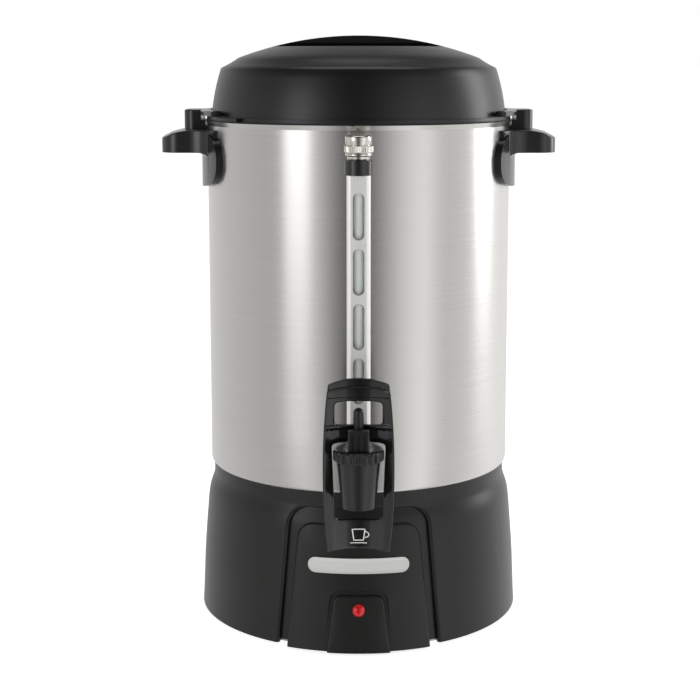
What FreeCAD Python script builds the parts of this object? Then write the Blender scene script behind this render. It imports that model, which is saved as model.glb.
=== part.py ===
import FreeCAD, Part
import math
import os

# Commercial coffee urn, 60-cup class. Millimetres, +Z up.
# The origin is on the tank's axis, in the plane that the feet stand on.
# The tap is at the front, which is -Y, and the two carrying handles are at +X and -X.

# Base: a moulded skirt that tapers up to a neck under the tank.
foot_height = 3.0
skirt_bottom = 2.0
base_height = 118.5
base_foot_radius = 126.2
shoulder_radius = 121.2
shoulder_height = 83.5
neck_radius = 115.8
neck_height = 106.4
skirt_swell = 1.9
base_wall = 3.0
ledge_thickness = 3.0
ledge_hole_radius = 96.0

# Arched front panel of the base, and the small panel that holds the pilot lamp.
arch_top = 106.3
arch_top_half = 50.0
arch_foot_half = 59.0
arch_corner = 16.0
panel_top = 95.2
panel_top_half = 44.5
panel_foot_half = 53.6
panel_corner = 13.0
groove_depth = 4.0
groove_lip = 2.4
panel_edge = 2.6
panel_top_radius = 117.4
panel_foot_radius = 130.2
pilot_panel_top = 43.0
pilot_panel_top_half = 18.0
pilot_panel_foot_half = 24.0
pilot_panel_corner = 6.0
pilot_panel_foot_radius = 133.0
pilot_panel_edge = 1.8
pilot_height = 33.0
pilot_lens_radius = 4.6

# Bottom cover, feet, screws and cord gland.
plate_thickness = 1.2
plate_gap = 0.3
foot_radius = 9.0
foot_circle = 106.0
foot_nib_radius = 3.0
screw_circle = 117.5
boss_radius = 5.5
boss_height = 14.0
screw_radius = 1.6
gland_height = 25.0
gland_radius = 7.0
gland_bore = 3.6
gland_flange = 10.0

# Tank: drawn aluminium with a rolled bead round its mouth.
tank_radius = 118.0
tank_wall = 1.3
tank_height = 269.5
tank_corner = 3.0
bead_height = 3.4
bead_reach = 1.5
stud_circle = 104.0
stud_radius = 2.5
stud_length = 13.0
stud_nut_height = 4.5

# Heater well, elements and controls under the tank's floor.
well_radius = 16.0
well_wall = 1.2
well_depth = 24.5
well_flange = 21.0
gasket_thickness = 1.2
well_nut_height = 4.0
band_radius = 25.0
band_height = 15.0
element_circle = 62.0
element_width = 8.0
element_height = 7.0
clip_wall = 1.2
clip_width = 8.0
thermostat_circle = 41.0
thermostat_radius = 9.0
thermostat_height = 10.0
cutoff_radius = 2.2
cutoff_length = 16.0
shield_radius = 100.0
shield_depth = 31.5
shield_thickness = 0.8
shield_opening = 30.0
lead_radius = 1.2
lead_bend = 14.0

# Carrying handles.
handle_reach = 151.5
handle_half = 38.0
handle_corner = 14.0
handle_flare = 13.0
handle_root = 6.5
handle_edge = 1.6
handle_top = 381.5
handle_bottom = 364.0
handle_outer_top = 376.0
apron_half = 60.0
apron_bottom = 338.0
apron_widest = 357.0
apron_thickness = 4.6
post_half = 17.0
post_setback = 15.9
post_corner = 8.0
post_top = 396.3
arm_half_angle = 27.0
arm_outer = 124.0
arm_bottom = 392.4
pocket_depth = 10.0
pocket_wall = 4.5
handle_screw_height = 373.0
handle_screw_angle = 10.0
handle_screw_radius = 2.0

# Lid.
lid_flange_radius = 118.6
lid_flange_thickness = 2.6
lid_wall = 2.6
lid_foot_radius = 115.0
lid_shoulder_radius = 107.4
lid_shoulder_rise = 38.4
lid_dome_radius = 263.0
lid_rise = 64.0
lid_blend_radius = 93.7
recess_radius = 67.0
recess_foot_radius = 64.0
recess_depth = 28.0
plug_radius = 115.2
plug_depth = 12.0
seal_thickness = 1.1
grip_half = 13.0
grip_waist = 8.5
grip_foot = 11.0
grip_gap = 0.3
lug_reach = 122.5
lug_half_angle = 7.0
lug_angle = 36.0

# Percolator parts inside the tank.
tube_radius = 5.0
tube_bore = 3.9
tube_top = 386.0
tube_foot_radius = 12.6
tube_foot_height = 20.0
basket_radius = 75.0
basket_bottom = 300.0
basket_height = 70.0
basket_wall = 1.0
basket_rim = 2.5
cover_rise = 6.0
running_gap = 0.05
hole_radius = 2.6

# Faucet and its valve. A rise is a height above the shank's axis, and a drop is one below it.
valve_axis = -168.0
shank_clearance = 10.61
shank_radius = 9.5
shank_bore = 6.0
shank_flange_radius = 15.0
shank_flange_front = -123.5
shank_flange_thickness = 3.0
shank_nut_across = 27.0
shank_nut_thickness = 6.0
barrel_rise = 11.2
barrel_top_radius = 15.6
barrel_mid_radius = 13.9
barrel_foot_radius = 11.9
barrel_drop = 22.0
barrel_neck_radius = 13.0
barrel_neck_height = 5.6
chamber_radius = 9.4
seat_drop = 14.5
spout_bore = 6.5
bonnet_radius = 17.9
bonnet_height = 8.8
bonnet_ribs = 24
stem_radius = 3.0
pin_rise = 28.0
pin_radius = 1.5
tongue_half = 2.5
seat_cup_radius = 8.2
seat_cup_height = 9.5
spring_radius = 5.2
spring_wall = 1.2

# Dispensing lever and the faucet handle that it is pressed on.
block_half = 7.5
block_front = -180.0
block_back = -161.5
block_gap = 0.3
block_height = 14.7
rod_radius = 3.75
rod_height = 14.5
lever_face = -172.0
lever_thickness = 4.0
lever_hollow_radius = 47.0
lever_bend_radius = 400.0
lever_bend_rise = 84.0
lever_rise = 70.6
lever_top_half = 21.2
lever_wide_half = 25.3
lever_drop = 61.8
lever_bottom_half = 22.4
bridge_thickness = 2.5
upper_window_height = 16.5
upper_window_half = 16.4
lower_window_rise = 24.0
lower_window_half = 18.8
lower_window_drop = 35.5
lower_window_foot_half = 16.5
window_corner = 4.5
lip_thickness = 2.4
lip_height = 10.0
lip_below_top = 4.6

# Sight gauge.
gauge_axis = -131.0
glass_radius = 5.0
glass_bore = 3.8
glass_top = 372.0
gauge_boss_radius = 9.5
gauge_boss_rise = 19.0
seal_radius = 7.2
seal_height = 8.0
channel_half = 8.5
channel_front = -138.6
channel_back = -124.5
channel_wall = 0.8
channel_corner = 3.5
channel_top = 354.0
slot_count = 5
slot_pitch = 39.3
slot_height = 33.3
slot_half = 4.1
first_slot_top = 341.8
bracket_radius = 9.9
bracket_height = 10.5
spigot_radius = 6.5
spigot_height = 3.0
cap_neck_radius = 8.2
cap_knurl_radius = 10.3
cap_top_radius = 9.5
cap_height = 17.5
cap_knurls = 30

# Heights worked out from the sizes above.
floor_top = base_height + tank_wall
tank_top = base_height + tank_height
seal_bottom = tank_top + running_gap
flange_bottom = seal_bottom + seal_thickness + running_gap
flange_top = flange_bottom + lid_flange_thickness
lid_top = flange_bottom + lid_rise
recess_floor = lid_top - recess_depth
tank_inner = tank_radius - tank_wall
plate_bottom = foot_height
plate_top = plate_bottom + plate_thickness
well_flange_bottom = floor_top + gasket_thickness
well_bottom = base_height - well_depth
ledge_bottom = base_height - ledge_thickness
basket_top = basket_bottom + basket_height
shank_height = floor_top + shank_nut_across / math.sqrt(3) + shank_clearance
barrel_top = shank_height + barrel_rise
barrel_bottom = shank_height - barrel_drop
seat_height = shank_height - seat_drop
bonnet_top = barrel_top + bonnet_height
pin_height = shank_height + pin_rise
block_bottom = bonnet_top + block_gap
block_top = block_bottom + block_height
rod_top = block_top + rod_height
lever_bend_height = shank_height + lever_bend_rise
lever_top = shank_height + lever_rise
lever_bottom = shank_height - lever_drop
upper_window_top = block_top + bridge_thickness + upper_window_height
lower_window_top = shank_height + lower_window_rise
lower_window_bottom = shank_height - lower_window_drop
lip_top = lever_top - lip_below_top
lip_bottom = lip_top - lip_height
gauge_boss_top = shank_height + gauge_boss_rise
channel_bottom = gauge_boss_top
bracket_top = channel_top + bracket_height

Z_AXIS = FreeCAD.Vector(0, 0, 1)


def point(x, y, z):
    return FreeCAD.Vector(x, y, z)


def side(a, b):
    """A point of a side view: a radius or x, and a height."""
    return point(a, 0, b)


def plan(a, b):
    """A point of a plan view."""
    return point(a, b, 0)


def face_of(view, start, *steps):
    """A closed face. A pair is a line's end, and four numbers are an arc's middle and end."""
    edges = []
    here = start
    for step in steps + (start,):
        end = step[-2:]
        if len(step) == 4:
            edges.append(Part.Arc(view(*here), view(*step[:2]), view(*end)).toShape())
        elif end != here:
            edges.append(Part.makeLine(view(*here), view(*end)))
        here = end
    return Part.Face(Part.Wire(edges))


def turned(start, *steps):
    """A solid turned about the vertical axis from a side-view outline."""
    return face_of(side, start, *steps).revolve(point(0, 0, 0), Z_AXIS, 360)


def disc(radius, bottom, top, x=0.0, y=0.0):
    """An upright cylinder between two heights."""
    return Part.makeCylinder(radius, top - bottom, point(x, y, bottom))


def bar(radius, start, end):
    """A round bar between two points."""
    way = end - start
    return Part.makeCylinder(radius, way.Length, start, way)


def block(x0, x1, y0, y1, z0, z1):
    return Part.makeBox(x1 - x0, y1 - y0, z1 - z0, point(x0, y0, z0))


def about_axis(shape, angle):
    """The shape turned about the vertical axis by an angle in degrees."""
    copy = shape.copy()
    copy.rotate(point(0, 0, 0), Z_AXIS, angle)
    return copy


def on_circle(radius, angle):
    """X and Y of a point at an angle on a circle round the vertical axis."""
    turn = math.radians(angle)
    return radius * math.cos(turn), radius * math.sin(turn)


def sector(inner, outer, bottom, top, half_angle):
    """A piece of ring, centred on +X."""
    ring = Part.makeCylinder(outer, top - bottom, point(0, 0, bottom), Z_AXIS, 2 * half_angle)
    ring.rotate(point(0, 0, 0), Z_AXIS, -half_angle)
    return ring.cut(disc(inner, bottom, top))


def hexagon(across, bottom, top, x=0.0, y=0.0):
    corner = across / math.sqrt(3)
    corners = [point(x + on_circle(corner, 60 * k)[0], y + on_circle(corner, 60 * k)[1], bottom)
               for k in range(7)]
    return Part.Face(Part.makePolygon(corners)).extrude(point(0, 0, top - bottom))


def across_y(outline, front, back):
    """A side-view face pushed along Y from the front plane to the back plane."""
    copy = outline.copy()
    copy.translate(point(0, front, 0))
    return copy.extrude(point(0, back - front, 0))


def save(name, shape):
    """One solid, or a group of like solids, in a file of its own."""
    solids = shape.Solids
    whole = solids[0] if len(solids) == 1 else Part.makeCompound(solids)
    whole.exportStep("parts/" + name + ".step")
    print(name, len(solids), round(whole.Volume), whole.isValid())


def group(shapes):
    return Part.makeCompound([solid for shape in shapes for solid in shape.Solids])


def skirt(inset, top, bottom):
    """The base's outer form, drawn in from its surface by an inset."""
    line = Part.BSplineCurve()
    line.interpolate([side(a - inset, b) for a, b in (
        (base_foot_radius, skirt_bottom),
        (base_foot_radius - skirt_swell, (skirt_bottom + shoulder_height) / 2),
        (shoulder_radius, shoulder_height),
        ((shoulder_radius + neck_radius) / 2, neck_height - 6.6),
        (neck_radius + 0.4, neck_height),
        (neck_radius, neck_height + 3.6))])
    corners = [(neck_radius - inset, neck_height + 3.6), (neck_radius - inset, top), (0, top),
               (0, bottom), (base_foot_radius - inset, bottom)]
    if bottom < skirt_bottom:
        corners.append((base_foot_radius - inset, skirt_bottom))
    edges = [line.toShape()]
    edges += [Part.makeLine(side(*one), side(*two)) for one, two in zip(corners, corners[1:])]
    return Part.Face(Part.Wire(edges)).revolve(point(0, 0, 0), Z_AXIS, 360)


def arch(peak, half, foot, corner):
    """An arched prism seen from the front: flat top, tangent round corners, sides that spread."""
    lean = math.atan2(foot - half, peak + 1)
    centre_x = half - corner * math.tan((math.pi / 2 - lean) / 2)
    centre_z = peak - corner
    middle = (math.pi / 2 + lean) / 2
    end_x = centre_x + corner * math.cos(lean)
    end_z = centre_z + corner * math.sin(lean)
    mid_x = centre_x + corner * math.cos(middle)
    mid_z = centre_z + corner * math.sin(middle)
    outline = face_of(side, (centre_x, peak), (mid_x, mid_z, end_x, end_z), (foot, -1), (-foot, -1),
                      (-end_x, end_z), (-mid_x, mid_z, -centre_x, peak))
    return across_y(outline, -1.3 * base_foot_radius, -0.7 * base_foot_radius)


def touching(edge, *shapes):
    """Whether an edge lies on every one of some shells."""
    marks = [edge.valueAt(edge.FirstParameter + share * (edge.LastParameter - edge.FirstParameter))
             for share in (0.2, 0.5, 0.8)]
    return all(Part.Vertex(mark).distToShape(shape)[0] < 0.01
               for mark in marks for shape in shapes)


def raised_panel(foot_radius, top_radius, top, outline, edge_radius):
    """A front panel: a turned slab cut to an outline, with its front edge rounded."""
    inset = groove_depth + 1.5
    slab = turned((base_foot_radius - inset, skirt_bottom), (foot_radius, skirt_bottom),
                  (top_radius, top + 2), (min(top_radius, shoulder_radius) - inset, top + 2))
    panel = slab.common(outline).Solids[0]
    face = max(panel.Faces, key=lambda face: math.hypot(face.CenterOfMass.x, face.CenterOfMass.y)
               if face.BoundBox.ZLength > top / 2 and abs(face.normalAt(0, 0).z) < 0.9 else 0)
    front = [edge for edge in panel.Edges
             if touching(edge, outline.Shells[0], face) and edge.BoundBox.ZMax > skirt_bottom + 1]
    return panel.makeFillet(edge_radius, front)


def panel_radius_at(height):
    share = (height - skirt_bottom) / (panel_top + 2 - skirt_bottom)
    return panel_foot_radius + share * (panel_top_radius - panel_foot_radius)


def pilot_frame(shape):
    """Sets a shape made upright, its face at height 0, in the pilot lamp's hole in the panel."""
    rise = pilot_panel_top + 2 - skirt_bottom
    lean = math.degrees(math.atan((pilot_panel_foot_radius - pilot_top_radius) / rise))
    seat = pilot_panel_foot_radius - (pilot_height - skirt_bottom) * (
        pilot_panel_foot_radius - pilot_top_radius) / rise
    copy = shape.copy()
    copy.rotate(point(0, 0, 0), point(1, 0, 0), 90 - lean)
    copy.translate(point(0, -seat, pilot_height))
    return copy


pilot_top_radius = panel_radius_at(pilot_panel_top + 2) + 0.3
screw_angles = [15 + 90 * k for k in range(4)]
stud_angles = [90, 210, 330]


def base_housing():
    """The moulded skirt, with its ledge under the tank, arched panel, bosses and gland pad."""
    outer = skirt(0, base_height, skirt_bottom)
    shell = outer.cut(skirt(base_wall, ledge_bottom, -1))
    margin = groove_depth
    backing = outer.common(arch(arch_top + margin, arch_top_half + margin,
                                arch_foot_half + margin, arch_corner + margin / 2))
    shell = shell.fuse(backing.cut(skirt(base_wall + groove_depth + 0.5, ledge_bottom, -1)))
    hollow = arch(arch_top, arch_top_half, arch_foot_half, arch_corner)
    shell = shell.cut(hollow.cut(skirt(groove_depth, base_height, -1)))
    rim = [edge for edge in shell.Edges if touching(edge, outer.Shells[0], hollow.Shells[0])
           and edge.BoundBox.ZMax > skirt_bottom + 1]
    shell = shell.makeFillet(groove_lip, rim)
    panel = raised_panel(panel_foot_radius, panel_top_radius, panel_top,
                         arch(panel_top, panel_top_half, panel_foot_half, panel_corner), panel_edge)
    shell = shell.fuse(panel)
    small_groove = arch(pilot_panel_top + 4, pilot_panel_top_half + 3, pilot_panel_foot_half + 1.5,
                        pilot_panel_corner + 3)
    beyond = 1.3 * base_foot_radius
    groove_form = turned((panel_radius_at(18), 18), (beyond, 18), (beyond, pilot_panel_top + 6),
                         (panel_radius_at(pilot_panel_top + 6) - 2.4, pilot_panel_top + 6))
    shell = shell.cut(small_groove.common(groove_form))
    small = raised_panel(pilot_panel_foot_radius, pilot_top_radius, pilot_panel_top,
                         arch(pilot_panel_top, pilot_panel_top_half, pilot_panel_foot_half,
                              pilot_panel_corner), pilot_panel_edge)
    shell = shell.fuse(small)
    for angle in screw_angles:
        x, y = on_circle(screw_circle, angle)
        shell = shell.fuse(disc(boss_radius, plate_top, plate_top + boss_height, x, y))
    pad_outside = base_foot_radius + 0.8
    pad = bar(gland_flange + 2, point(0, pad_outside - 9, gland_height),
              point(0, pad_outside, gland_height))
    shell = shell.fuse(pad)
    shell = shell.cut(bar(gland_radius, point(0, 90, gland_height), point(0, 150, gland_height)))
    shell = shell.cut(disc(base_foot_radius - base_wall - 0.6 + plate_gap, -1, plate_top))
    shell = shell.cut(disc(ledge_hole_radius, ledge_bottom - 1, base_height + 1))
    for angle in screw_angles:
        x, y = on_circle(screw_circle, angle)
        shell = shell.cut(disc(screw_radius, plate_top - 1, plate_top + boss_height - 2, x, y))
    for angle in stud_angles:
        x, y = on_circle(stud_circle, angle)
        shell = shell.cut(disc(stud_radius + 0.3, ledge_bottom - 1, base_height + 1, x, y))
    shell = shell.cut(pilot_frame(disc(pilot_lens_radius - 1.0, -30, 5)))
    return shell.removeSplitter()


def base_plate():
    """The pressed steel bottom cover, with vent slots and holes for feet and screws."""
    plate = disc(base_foot_radius - base_wall - 0.6, plate_bottom, plate_top)
    for k in range(4):
        x, y = on_circle(foot_circle, 45 + 90 * k)
        plate = plate.cut(disc(foot_nib_radius, 0, 10, x, y))
        x, y = on_circle(screw_circle, screw_angles[k])
        plate = plate.cut(disc(screw_radius, 0, 10, x, y))
    for k in range(12):
        slot = block(52, 78, -2.5, 2.5, 0, 10)
        plate = plate.cut(about_axis(slot, 30 * k))
    return plate


def rubber_foot(x, y):
    """A rubber foot with a nib pulled through the bottom cover."""
    tread = turned((0, 0), (foot_radius - 1, 0), (foot_radius, 1),
                   (foot_radius - 0.6, foot_height), (foot_nib_radius, foot_height),
                   (foot_nib_radius, plate_top), (foot_nib_radius + 1.2, plate_top),
                   (foot_nib_radius - 1, plate_top + 4), (0, plate_top + 4))
    tread.translate(point(x, y, 0))
    return tread


def cord_gland():
    """The bushing that the supply lead enters by, locked in the rear wall."""
    outside = base_foot_radius + 0.8
    body = turned((gland_bore, 0), (gland_radius + 2, 0), (gland_radius + 2, 3), (gland_radius, 3),
                  (gland_radius, 12), (gland_flange, 12), (gland_flange, 14), (gland_flange - 2, 15),
                  (gland_radius + 0.5, 18.5), (gland_bore + 1, 19), (gland_bore, 18))
    body.rotate(point(0, 0, 0), point(1, 0, 0), -90)
    body.translate(point(0, outside - 12, gland_height))
    return body


def pilot_lens():
    """The red jewel: a domed head on a hollow barrel."""
    return pilot_frame(turned(
        (2.7, -13), (pilot_lens_radius - 1.0, -13), (pilot_lens_radius - 1.0, 0),
        (pilot_lens_radius, 0), (pilot_lens_radius, 0.8),
        (0.74 * pilot_lens_radius, 2.4, 0.6, 3.3), (0, 3.3), (0, -2), (2.7, -2)))


def pilot_lamp():
    """The neon lamp in the lens's barrel."""
    return pilot_frame(turned((0, -17), (2.2, -17), (2.2, -15.5), (2.6, -15.5), (2.6, -4.5),
                              (2.0, -3.2, 0.5, -2.4), (0, -2.4)))


def tank():
    """The tank, with a rolled bead, welded studs and holes for well, faucet, handles and bracket."""
    bead = tank_radius + bead_reach
    body = turned(
        (0, base_height), (tank_radius - tank_corner, base_height),
        (tank_radius - 0.3 * tank_corner, base_height + 0.3 * tank_corner,
         tank_radius, base_height + tank_corner),
        (tank_radius, tank_top - bead_height),
        (bead, tank_top - 0.55 * bead_height, tank_radius + 0.3, tank_top),
        (tank_inner, tank_top),
        (tank_inner, floor_top + tank_corner - tank_wall),
        (tank_inner - 0.5, floor_top + 0.5, tank_inner - tank_corner + tank_wall, floor_top),
        (0, floor_top))
    body = body.cut(disc(well_radius, base_height - 1, floor_top + 1))
    for angle in stud_angles:
        x, y = on_circle(stud_circle, angle)
        body = body.fuse(disc(stud_radius, base_height - stud_length, base_height, x, y))
    body = body.cut(bar(shank_radius + 0.3, point(0, -90, shank_height), point(0, -130, shank_height)))
    for turn in (0, 180):
        for angle in (-handle_screw_angle, handle_screw_angle):
            hole = bar(handle_screw_radius, point(100, 0, handle_screw_height),
                       point(130, 0, handle_screw_height))
            body = body.cut(about_axis(hole, turn + angle))
    height = channel_top + bracket_height / 2
    body = body.cut(bar(handle_screw_radius, point(0, -100, height), point(0, -130, height)))
    return body


def heater_well():
    """The deep cup that holds the pump's foot, clamped through the floor."""
    return turned((0, well_bottom), (well_radius, well_bottom), (well_radius, well_flange_bottom),
                  (well_flange, well_flange_bottom), (well_flange, well_flange_bottom + 1.4),
                  (well_radius - well_wall, well_flange_bottom + 1.4),
                  (well_radius - well_wall, well_bottom + well_wall), (0, well_bottom + well_wall))


def heater_band():
    """The brewing element clamped round the well, with its clamp ears and terminals."""
    top = base_height - well_nut_height - 1.5
    band = disc(band_radius, top - band_height, top).cut(disc(well_radius, 0, 200))
    band = band.fuse(block(band_radius - 2, band_radius + 9, -4, 4, top - band_height + 3, top - 3))
    band = band.cut(block(well_radius - 1, band_radius + 12, -1, 1, 0, 200))
    return band


def keep_warm_element():
    """The low-watt ring pressed against the tank's floor, open at one place for its ends."""
    inner = element_circle - element_width / 2
    outer = element_circle + element_width / 2
    low = base_height - element_height
    ring = turned((inner, base_height), (inner, low + 3), (element_circle, low, outer, low + 3),
                  (outer, base_height))
    return ring.cut(about_axis(block(40, 80, -6, 6, 0, 200), 90))


def keep_warm_clips():
    """Three welded clips that hold the ring up."""
    clips = []
    low = base_height - element_height - clip_wall
    for angle in (30, 150, 270):
        inner = element_circle - element_width / 2
        outer = element_circle + element_width / 2
        clip = block(inner - clip_wall, outer + clip_wall, -clip_width / 2, clip_width / 2,
                     low, base_height)
        clip = clip.cut(block(inner, outer, -clip_width, clip_width,
                              low + clip_wall, base_height))
        clip = clip.fuse(block(outer + clip_wall, outer + 8, -clip_width / 2, clip_width / 2,
                               base_height - clip_wall, base_height))
        ring = turned((inner, base_height), (inner, low + clip_wall + 3),
                      (element_circle, low + clip_wall, outer, low + clip_wall + 3),
                      (outer, base_height))
        clips.append(about_axis(clip, angle).cut(ring))
    return group(clips)


def thermostat():
    """The snap-disc thermostat that ends the brewing, with two blade terminals."""
    low = base_height - thermostat_height
    body = disc(thermostat_radius, low + 4, base_height, -thermostat_circle)
    body = body.fuse(disc(thermostat_radius - 2, low, low + 4, -thermostat_circle))
    for y in (-4, 4):
        body = body.fuse(block(-thermostat_circle - 3, -thermostat_circle + 3, y - 0.5, y + 0.5,
                               low - 7, low))
    return body


def thermal_cutoff():
    """The one-shot cutoff, a capsule in a strap against the tank's floor."""
    x = thermostat_circle
    z = base_height - cutoff_radius
    half = cutoff_length / 2
    capsule = bar(cutoff_radius, point(x, -half, z), point(x, half, z))
    strap = block(x - 7, x + 7, -3, 3, base_height - 2 * cutoff_radius - 1, base_height)
    return capsule.fuse(strap)


def heat_shield():
    """The pressed dish under the elements, clamped by the tank's nuts under the ledge."""
    top = ledge_bottom
    bottom = top - shield_depth
    t = shield_thickness
    lip = stud_circle + 7.5
    dish = turned((shield_opening, bottom), (shield_radius - 3, bottom),
                  (shield_radius, bottom + 3), (shield_radius, top - t), (lip, top - t),
                  (lip, top), (shield_radius - t, top), (shield_radius - t, bottom + 3 + t / 2),
                  (shield_radius - 3 - t / 2, bottom + t), (shield_opening, bottom + t))
    for angle in stud_angles:
        x, y = on_circle(stud_circle, angle)
        dish = dish.cut(disc(stud_radius, 0, 200, x, y))
    return dish


def lead(x, start_y, start_z, stop_y, stop_z):
    """A lead that runs level and then turns up to a terminal."""
    way = 1 if stop_y > start_y else -1
    bend = point(x, stop_y - way * lead_bend, start_z)
    middle = point(x, stop_y - way * lead_bend * (1 - math.sin(math.pi / 4)),
                   start_z + lead_bend * (1 - math.cos(math.pi / 4)))
    after = point(x, stop_y, start_z + lead_bend)
    path = Part.Wire([Part.makeLine(point(x, start_y, start_z), bend),
                      Part.Arc(bend, middle, after).toShape(),
                      Part.makeLine(after, point(x, stop_y, stop_z))])
    ring = Part.Wire([Part.makeCircle(lead_radius, point(x, start_y, start_z), point(0, way, 0))])
    return path.makePipeShell([ring], True, False)


def lead_wires():
    """Two supply leads from the gland and two from the lamp, up to the brewing element."""
    band_bottom = base_height - well_nut_height - 1.5 - band_height
    inside = base_foot_radius + 0.8 - 12
    lamp = pilot_frame(disc(2.2, -17, -16.9)).BoundBox
    wires = []
    for x in (-5.6, 5.6):
        wires.append(lead(x, inside, gland_height, 19.5, band_bottom))
    for x in (-1.3, 1.3):
        wires.append(lead(x, lamp.YMax + 0.1, pilot_height + 2.8, -20.5, band_bottom))
    return group(wires)


def handle():
    """One carrying handle, at +X: apron on the tank, grip ledge with a finger pocket, post
    and the hook arm that the lid's lug turns under."""
    apron_outer = tank_radius + apron_thickness
    body = sector(tank_radius, apron_outer, apron_bottom - 5, handle_top, 40)
    view = lambda a, b: point(100, a, b)
    rise = apron_widest - apron_bottom
    form = face_of(
        view, (0, apron_bottom),
        (0.6 * apron_half, apron_bottom + 0.04 * rise, 0.8 * apron_half, apron_bottom + 0.14 * rise),
        (0.95 * apron_half, apron_bottom + 0.45 * rise, apron_half, apron_widest),
        (0.96 * apron_half, apron_widest + 12, 0.72 * apron_half, apron_widest + 22),
        (0.3 * apron_half, handle_top + 4.5), (-0.3 * apron_half, handle_top + 4.5),
        (-0.72 * apron_half, apron_widest + 22),
        (-0.96 * apron_half, apron_widest + 12, -apron_half, apron_widest),
        (-0.95 * apron_half, apron_bottom + 0.45 * rise, -0.8 * apron_half, apron_bottom + 0.14 * rise),
        (-0.6 * apron_half, apron_bottom + 0.04 * rise, 0, apron_bottom)).extrude(point(60, 0, 0))
    body = body.common(form)
    inner = tank_radius - 8
    corner = handle_corner
    near = 0.29 * corner
    root_half = handle_half + handle_flare
    root_x = math.sqrt(apron_outer ** 2 - root_half ** 2) - 2
    flare_x = apron_outer + handle_root
    flare_y = handle_half + 0.22 * handle_flare
    bend_x = 0.5 * (root_x + flare_x)
    ledge = face_of(
        plan, (root_x - 8, -root_half), (root_x, -root_half), (bend_x, -flare_y, flare_x, -handle_half),
        (handle_reach - corner, -handle_half),
        (handle_reach - near, -handle_half + near, handle_reach, -handle_half + corner),
        (handle_reach, handle_half - corner),
        (handle_reach - near, handle_half - near, handle_reach - corner, handle_half),
        (flare_x, handle_half), (bend_x, flare_y, root_x, root_half), (root_x - 8, root_half))
    ledge.translate(point(0, 0, handle_bottom - 2 * handle_root))
    ledge = ledge.extrude(point(0, 0, handle_top - handle_bottom + 3 * handle_root))
    beyond = handle_reach + 12
    root = apron_outer - 1
    crown = turned((root_x - 12, handle_bottom - handle_root), (root, handle_bottom - handle_root),
                   (root + 0.29 * handle_root, handle_bottom - 0.29 * handle_root,
                    root + handle_root, handle_bottom),
                   (beyond, handle_bottom), (beyond, handle_outer_top - 4),
                   (handle_reach + 3, handle_outer_top - 1.0, handle_reach - 5, handle_outer_top + 2.8),
                   (handle_reach - 13, handle_top - 0.7, handle_reach - 22, handle_top),
                   (root_x - 12, handle_top))
    ledge = ledge.common(crown).Solids[0]
    rounded = [edge for edge in ledge.Edges
               if edge.BoundBox.XMax > flare_x and edge.CenterOfMass.z > handle_outer_top - 3
               and edge.BoundBox.ZLength < 9 and edge.BoundBox.XMin > root_x - 0.1
               and edge.BoundBox.XLength < handle_reach]
    ledge = ledge.makeFillet(handle_edge, rounded)
    pocket = block(apron_outer + 2, handle_reach - pocket_wall, -handle_half + pocket_wall,
                   handle_half - pocket_wall, handle_bottom - 8, handle_bottom + pocket_depth)
    pocket = pocket.makeFillet(4, [edge for edge in pocket.Edges if edge.BoundBox.ZLength > 10])
    post_reach = handle_reach - post_setback
    post = block(inner, post_reach, -post_half, post_half, handle_bottom + pocket_depth + 2, post_top)
    post = post.makeFillet(post_corner, [edge for edge in post.Edges
                                         if edge.BoundBox.XMin > inner + 1 and edge.BoundBox.ZLength > 9])
    post = post.makeFillet(1.2, [edge for edge in post.Edges if edge.BoundBox.ZMin > post_top - 0.1
                                 and edge.BoundBox.XMax > inner + 1])
    arm = sector(lid_foot_radius + 0.6, arm_outer, arm_bottom, post_top, arm_half_angle)
    arm = arm.makeFillet(1.6, [edge for edge in arm.Edges
                               if edge.BoundBox.ZMin > post_top - 0.1 and edge.BoundBox.XMax > 113])
    body = body.fuse([ledge.cut(pocket), post, arm])
    body = body.cut(disc(tank_radius, 300, tank_top))
    body = body.cut(disc(tank_radius + bead_reach + 0.3, tank_top - bead_height - 0.6, flange_bottom))
    body = body.cut(disc(lug_reach + 0.7, tank_top + 0.3, arm_bottom))
    body = body.cut(disc(lid_foot_radius + 0.6, tank_top, post_top + 5))
    for angle in (-handle_screw_angle, handle_screw_angle):
        hole = bar(handle_screw_radius, point(100, 0, handle_screw_height),
                   point(apron_outer + 2, 0, handle_screw_height))
        body = body.cut(about_axis(hole, angle))
    return body


def handle_hardware():
    """The screws that hold the handles from inside the tank, and their sealing washers."""
    screws = []
    washers = []
    washer = 1.2
    for turn in (0, 180):
        for angle in (-handle_screw_angle, handle_screw_angle):
            screw = bar(handle_screw_radius, point(tank_inner - washer - 3, 0, handle_screw_height),
                        point(tank_radius + apron_thickness + 2, 0, handle_screw_height))
            head = bar(4.0, point(tank_inner - washer - 3, 0, handle_screw_height),
                       point(tank_inner - washer, 0, handle_screw_height))
            ring = bar(5.5, point(tank_inner - washer, 0, handle_screw_height),
                       point(tank_inner + 1, 0, handle_screw_height))
            ring = ring.common(disc(tank_inner, 0, lid_top))
            ring = ring.cut(bar(handle_screw_radius, point(90, 0, handle_screw_height),
                                point(130, 0, handle_screw_height)))
            screws.append(about_axis(screw.fuse(head), turn + angle))
            washers.append(about_axis(ring, turn + angle))
    return group(screws), group(washers)


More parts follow.
